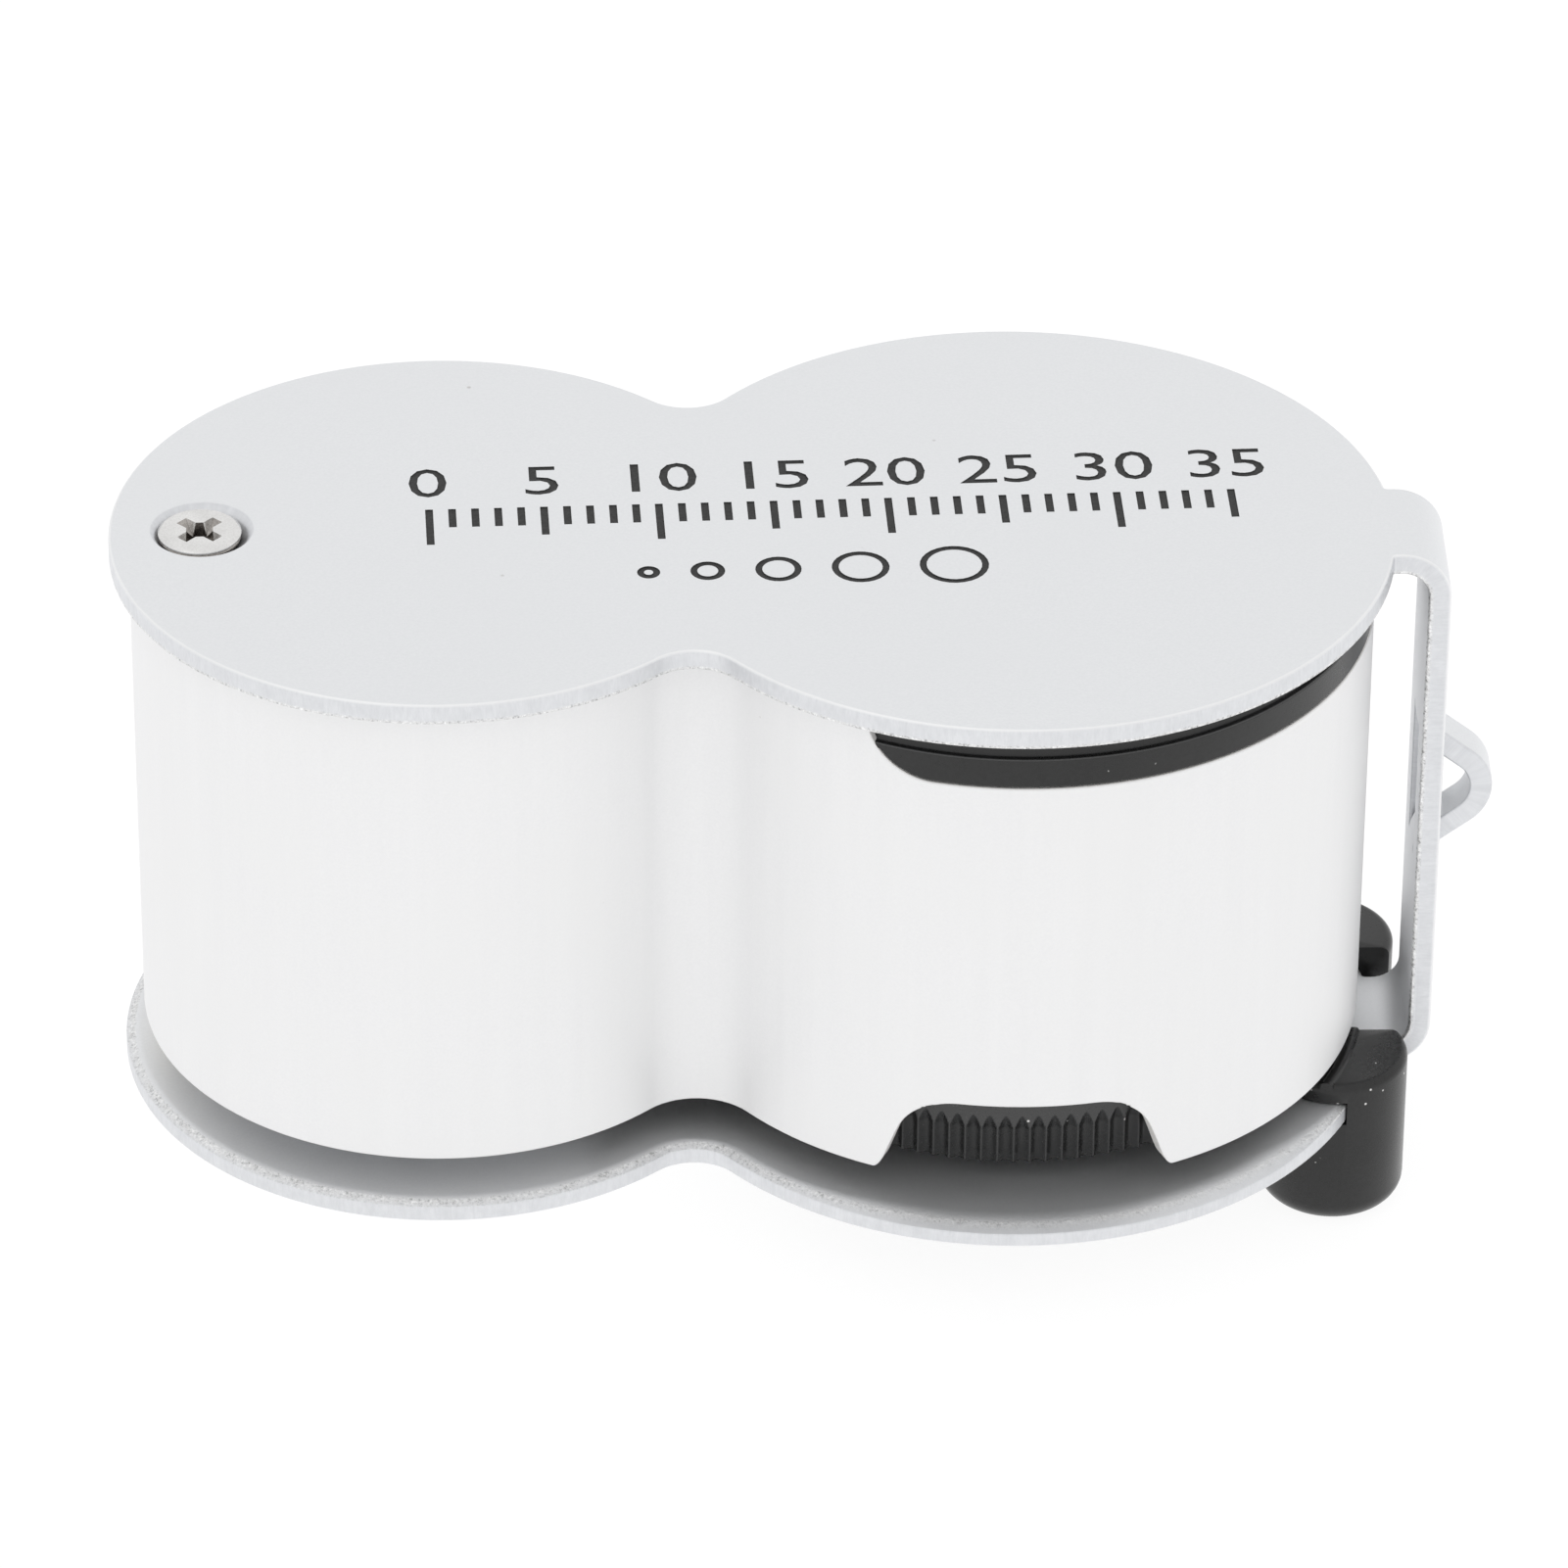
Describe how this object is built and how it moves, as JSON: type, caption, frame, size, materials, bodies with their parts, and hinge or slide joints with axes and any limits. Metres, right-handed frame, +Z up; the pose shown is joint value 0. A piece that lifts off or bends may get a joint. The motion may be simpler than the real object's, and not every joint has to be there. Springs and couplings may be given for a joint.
{
  "type": "folding pocket viewing loupe",
  "caption": "Folding pocket loupe: a lit lens body of figure-eight plan swings out of a bent sheet cover, with a knurled focusing ring and a clip-on scale base.",
  "frame": {"origin": "middle of the bounding box's bottom face; the bottom plate's underside is 5.6 mm above it", "axes": "+X from the pivot end to the strip that joins the two plates, +Z up along the pivot and the lens axis"},
  "size_m": [0.0606, 0.033, 0.0324],
  "materials": {
    "anodised_sheet": "fine satin anodised sheet with bright sheared edges",
    "shell_aluminium": "bright silver, smooth satin",
    "black_plastic": "moulded black, semi-matt",
    "nickel_plate": "bright nickel plate",
    "brass_parts": "turned or pressed brass",
    "nylon": "natural nylon",
    "lens_glass": "polished and coated",
    "clear_acrylic": "clear, with a fine black scale",
    "led_epoxy": "clear epoxy",
    "cell_steel": "bright nickel-plated steel can",
    "circuit_board": "green solder mask"
  },
  "bodies": {
    "cover": {"cover_frame": "anodised_sheet", "pivot_screw_top": "nickel_plate", "pivot_screw_bottom": "nickel_plate", "pivot_sleeve": "brass_parts", "friction_washer": "nylon", "spacer_bush": "nylon"},
    "lens_body": {"body_shell": "shell_aluminium", "inner_core": "black_plastic", "top_cap": "black_plastic", "case_screw_1": "nickel_plate", "case_screw_2": "nickel_plate", "case_screw_3": "nickel_plate", "case_screw_4": "nickel_plate", "button_cell_1": "cell_steel", "button_cell_2": "cell_steel", "button_cell_3": "cell_steel", "contact_plate": "brass_parts", "contact_spring": "nickel_plate", "led_board": "circuit_board", "led_front": "led_epoxy", "led_back": "led_epoxy", "switch_contact": "brass_parts"},
    "focus_ring": {"focus_ring": "black_plastic"},
    "lens_unit": {"lens_cell": "black_plastic", "field_lens": "lens_glass", "lens_spacer": "black_plastic", "eye_lens": "lens_glass", "retaining_ring": "black_plastic"},
    "battery_lid": {"battery_lid": "black_plastic"},
    "light_switch": {"light_switch": "black_plastic"},
    "scale_base": {"scale_base": "black_plastic", "reticle_disc": "clear_acrylic", "reticle_ring": "black_plastic"}
  },
  "joints": [
    {"name": "body_swing", "type": "hinge", "parent": "cover", "child": "lens_body", "pos_m": [-0.02635, 0, 0.019], "axis": [0, 0, 1], "continuous": true},
    {"name": "focus_turn", "type": "hinge", "parent": "lens_body", "child": "focus_ring", "pos_m": [0.0092, 0, 0.0098], "axis": [0, 0, 1], "range_deg": [0, 301]},
    {"name": "focus_travel", "type": "slide", "parent": "lens_body", "child": "lens_unit", "axis": [0, 0, 1], "range_m": [0, 0.0025]},
    {"name": "battery_lid_turn", "type": "hinge", "parent": "lens_body", "child": "battery_lid", "pos_m": [-0.0158, 0, 0.0291], "axis": [0, 0, 1], "range_deg": [0, 90]},
    {"name": "light_switch_slide", "type": "slide", "parent": "lens_body", "child": "light_switch", "axis": [0, -1, 0], "range_m": [0, 0.002]},
    {"name": "scale_base_slide", "type": "slide", "parent": "cover", "child": "scale_base", "axis": [1, 0, 0], "range_m": [0, 0.04]}
  ],
  "couplings": [
    {"joint": "focus_turn", "follows": "focus_travel", "rad_per_m": 2094.4}
  ]
}
